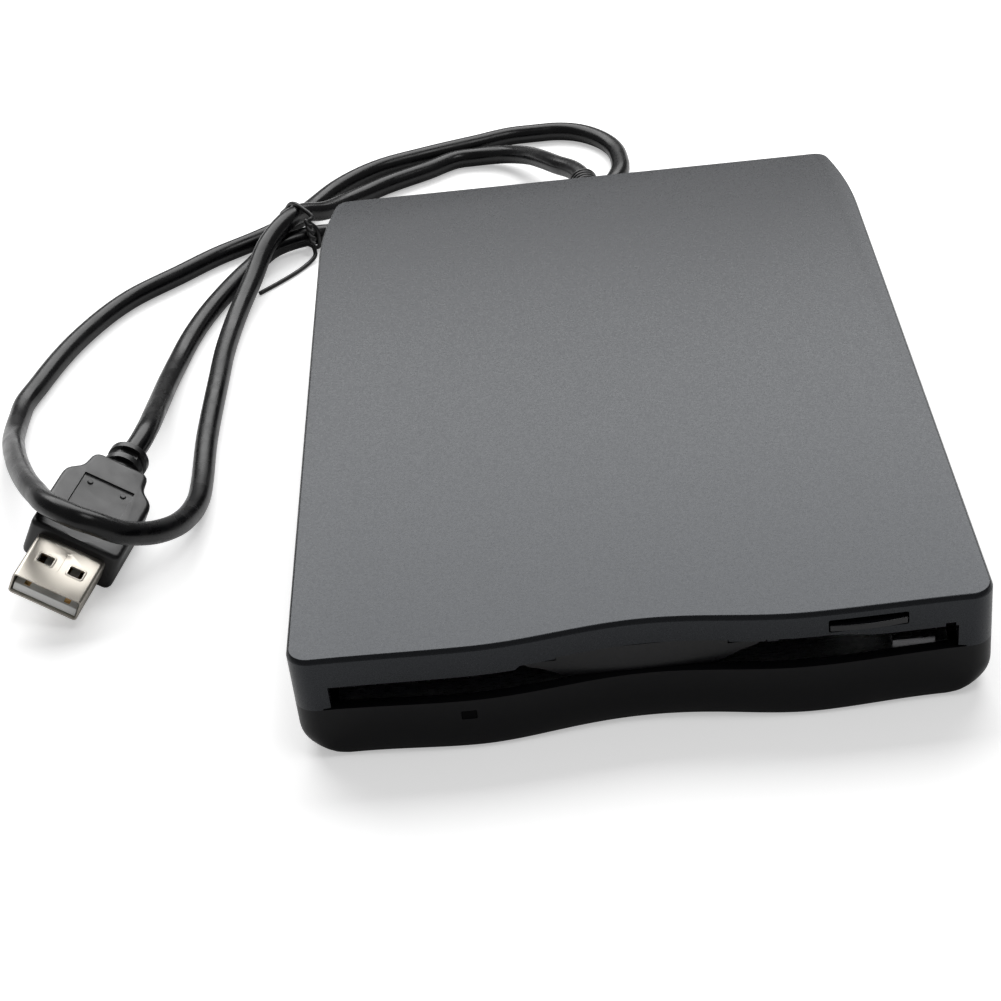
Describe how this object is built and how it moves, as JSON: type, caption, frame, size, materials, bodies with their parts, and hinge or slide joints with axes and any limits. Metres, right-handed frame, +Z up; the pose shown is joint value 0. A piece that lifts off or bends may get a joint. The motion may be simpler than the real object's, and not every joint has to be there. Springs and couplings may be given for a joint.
{
  "type": "external floppy disk drive",
  "caption": "Flat external disk drive with a front slot, sprung flap, eject button, lift cage, spindle and head carriage, and a tied cord ending in a flat plug.",
  "frame": {"origin": "under the middle of the case, on the plane that the feet rest on", "axes": "+X to the right when facing the front, +Y towards the rear, +Z up"},
  "size_m": [0.163, 0.2047, 0.0199],
  "materials": {
    "case_top": "fine satin texture",
    "case_low": "fine satin texture",
    "soft_black": "satin",
    "black_plastic": "satin",
    "steel_sheet": "bright",
    "steel_dark": "satin",
    "brass": "satin",
    "copper": "lacquered wire",
    "board": "coated",
    "ivory": "satin",
    "white_plastic": "gloss",
    "lens": "clear tinted",
    "plated": "bright nickel plating",
    "gold": "plated",
    "flat_cable": "satin"
  },
  "bodies": {
    "case": {"top_cover": "case_top", "bottom_case": "case_low", "rubber_feet": "soft_black", "case_screws": "steel_dark", "led_window": "lens", "led": "lens", "flap_spring": "steel_sheet", "ejector_spring": "steel_sheet", "lever_spring": "steel_sheet", "drive_frame": "steel_sheet", "frame_screws": "steel_dark", "drive_cover": "steel_sheet", "motor_board": "board", "spindle_bearing": "brass", "motor_stator": "steel_dark", "stator_coils": "copper", "guide_rod": "steel_sheet", "stepper_motor": "steel_dark", "sensor_board": "board", "switch_bodies": "black_plastic", "drive_board": "board", "drive_chips": "black_plastic", "bridge_board": "board", "bridge_chips": "black_plastic", "ribbon_sockets": "ivory", "ribbon_cable": "flat_cable", "cable_header": "white_plastic", "inner_wires": "soft_black", "strain_relief": "soft_black", "usb_cord": "soft_black", "cord_tie": "black_plastic", "plug_collar": "soft_black", "plug_overmould": "soft_black", "plug_shell": "plated", "plug_tongue": "white_plastic", "plug_contacts": "gold"},
    "flap": {"dust_flap": "case_low"},
    "ejector": {"eject_slider": "steel_sheet", "eject_button": "case_low"},
    "cage": {"disk_cage": "steel_sheet"},
    "carriage": {"head_carriage": "steel_dark", "lower_head": "ivory", "arm_hinge_pin": "steel_sheet"},
    "upper_arm": {"upper_head_arm": "steel_sheet", "upper_head": "ivory"},
    "screw": {"lead_screw": "steel_sheet"},
    "rotor": {"rotor_cup": "steel_sheet", "rotor_magnet": "black_plastic", "spindle_shaft": "steel_sheet", "hub_chuck": "steel_sheet", "drive_pin": "steel_sheet"},
    "lever": {"shutter_lever": "ivory"},
    "plunger_a": {"write_plunger": "ivory"},
    "plunger_b": {"density_plunger": "ivory"},
    "plunger_c": {"disk_plunger": "ivory"}
  },
  "joints": [
    {"name": "flap_hinge", "type": "hinge", "parent": "case", "child": "flap", "pos_m": [0, -0.0691, 0.0137], "axis": [1, 0, 0], "range_deg": [0, 90], "stiffness_Nm_per_rad": 0.0006, "springref_deg": -15},
    {"name": "eject_slide", "type": "slide", "parent": "case", "child": "ejector", "axis": [0, -1, 0], "range_m": [0, 0.0045], "deforming": ["ejector_spring"]},
    {"name": "cage_lift", "type": "slide", "parent": "case", "child": "cage", "axis": [0, 0, 1], "range_m": [-0.002, 0]},
    {"name": "head_seek", "type": "slide", "parent": "case", "child": "carriage", "axis": [0, -1, 0], "range_m": [0, 0.0148]},
    {"name": "arm_lower", "type": "hinge", "parent": "carriage", "child": "upper_arm", "pos_m": [0, 0.042, 0.0124], "axis": [1, 0, 0], "range_deg": [0, 9]},
    {"name": "lead_screw_turn", "type": "hinge", "parent": "case", "child": "screw", "pos_m": [0.014, 0.025, 0.0057], "axis": [0, 1, 0], "range_deg": [0, 1425]},
    {"name": "spindle_spin", "type": "hinge", "parent": "case", "child": "rotor", "pos_m": [0, -0.021, 0.005], "axis": [0, 0, 1], "continuous": true},
    {"name": "lever_turn", "type": "hinge", "parent": "case", "child": "lever", "pos_m": [-0.04, 0.034, 0.0107], "axis": [0, 0, 1], "range_deg": [0, 64.5], "stiffness_Nm_per_rad": 0.002, "springref_deg": -8},
    {"name": "plunger_a_press", "type": "slide", "parent": "case", "child": "plunger_a", "axis": [0, 0, -1], "range_m": [0, 0.0013], "stiffness_N_per_m": 60, "springref_m": -0.0005},
    {"name": "plunger_b_press", "type": "slide", "parent": "case", "child": "plunger_b", "axis": [0, 0, -1], "range_m": [0, 0.0013], "stiffness_N_per_m": 60, "springref_m": -0.0005},
    {"name": "plunger_c_press", "type": "slide", "parent": "case", "child": "plunger_c", "axis": [0, 0, -1], "range_m": [0, 0.0013], "stiffness_N_per_m": 60, "springref_m": -0.0005}
  ],
  "couplings": [
    {"joint": "cage_lift", "follows": "eject_slide", "ratio": -0.44444},
    {"joint": "arm_lower", "follows": "eject_slide", "rad_per_m": 34.907},
    {"joint": "lead_screw_turn", "follows": "head_seek", "rad_per_m": 1675.5}
  ]
}
